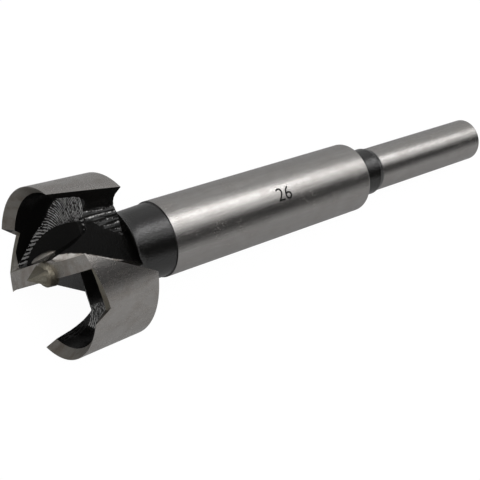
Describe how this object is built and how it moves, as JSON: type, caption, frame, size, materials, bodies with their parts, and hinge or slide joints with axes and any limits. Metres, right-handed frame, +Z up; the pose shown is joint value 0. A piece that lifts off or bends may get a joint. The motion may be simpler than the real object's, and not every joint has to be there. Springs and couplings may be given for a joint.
{
  "type": "forstner bit",
  "caption": "One-piece forstner bit: a round cutting head with a scoring rim, lifters, chip throats and a centre point on a long round body and a thinner drive shank.",
  "frame": {"origin": "bottom centre of the bounding box, on the surface the bit lies on", "axes": "+X runs from the centre point towards the end of the shank and is the longest extent, +Z is up from the surface it lies on"},
  "size_m": [0.0994, 0.026, 0.025],
  "materials": {
    "bright_ground_steel": "ground bright on the rim, body and shank, black oxide in the hollows"
  },
  "bodies": {
    "root": {"forstner_bit": "bright_ground_steel"}
  },
  "joints": []
}
